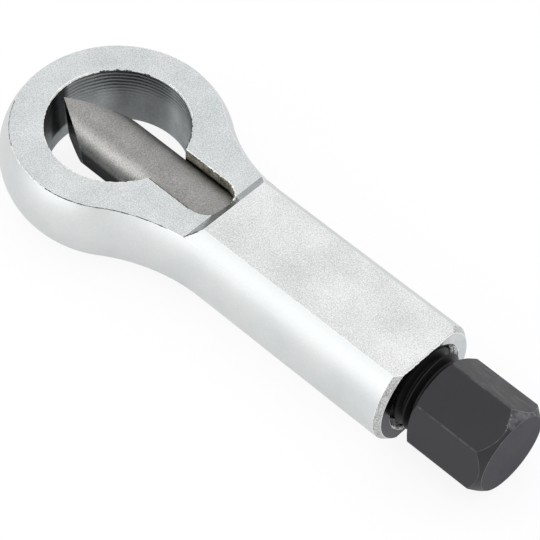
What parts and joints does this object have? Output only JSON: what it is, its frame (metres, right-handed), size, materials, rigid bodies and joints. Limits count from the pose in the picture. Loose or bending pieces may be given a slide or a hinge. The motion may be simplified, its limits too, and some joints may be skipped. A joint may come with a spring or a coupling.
{
  "type": "nut splitter",
  "caption": "Screw-driven nut splitter: a forged ring on a round flatted handle, with a sliding wedge-ended cutter pushed and drawn back by a hexagon-headed forcing screw.",
  "frame": {"origin": "centre of the ring opening, half way through its thickness", "axes": "+Z along the axis of the nut in the ring, +X from the ring along the handle to the head of the screw"},
  "size_m": [0.1211, 0.0452, 0.0194],
  "materials": {
    "frame": "satin plated steel forging with machined faces",
    "cutter": "ground tool steel",
    "screw": "black oxide steel",
    "bearing": "polished bearing steel",
    "pins": "ground dowel steel"
  },
  "bodies": {
    "frame": {"frame": "frame", "guide_pin": "pins"},
    "cutter": {"cutter": "cutter", "thrust_ball": "bearing", "left_retaining_pin": "pins", "right_retaining_pin": "pins"},
    "forcing_screw": {"forcing_screw": "screw"}
  },
  "joints": [
    {"name": "cutter_slide", "type": "slide", "parent": "frame", "child": "cutter", "axis": [1, 0, 0], "range_m": [-0.0004, 0.027]},
    {"name": "screw_turn", "type": "hinge", "parent": "cutter", "child": "forcing_screw", "pos_m": [0.0985, 0, 0], "axis": [1, 0, 0], "range_deg": [-72.02, 4860.02]}
  ],
  "couplings": [
    {"joint": "screw_turn", "follows": "cutter_slide", "rad_per_m": 3141.6}
  ]
}
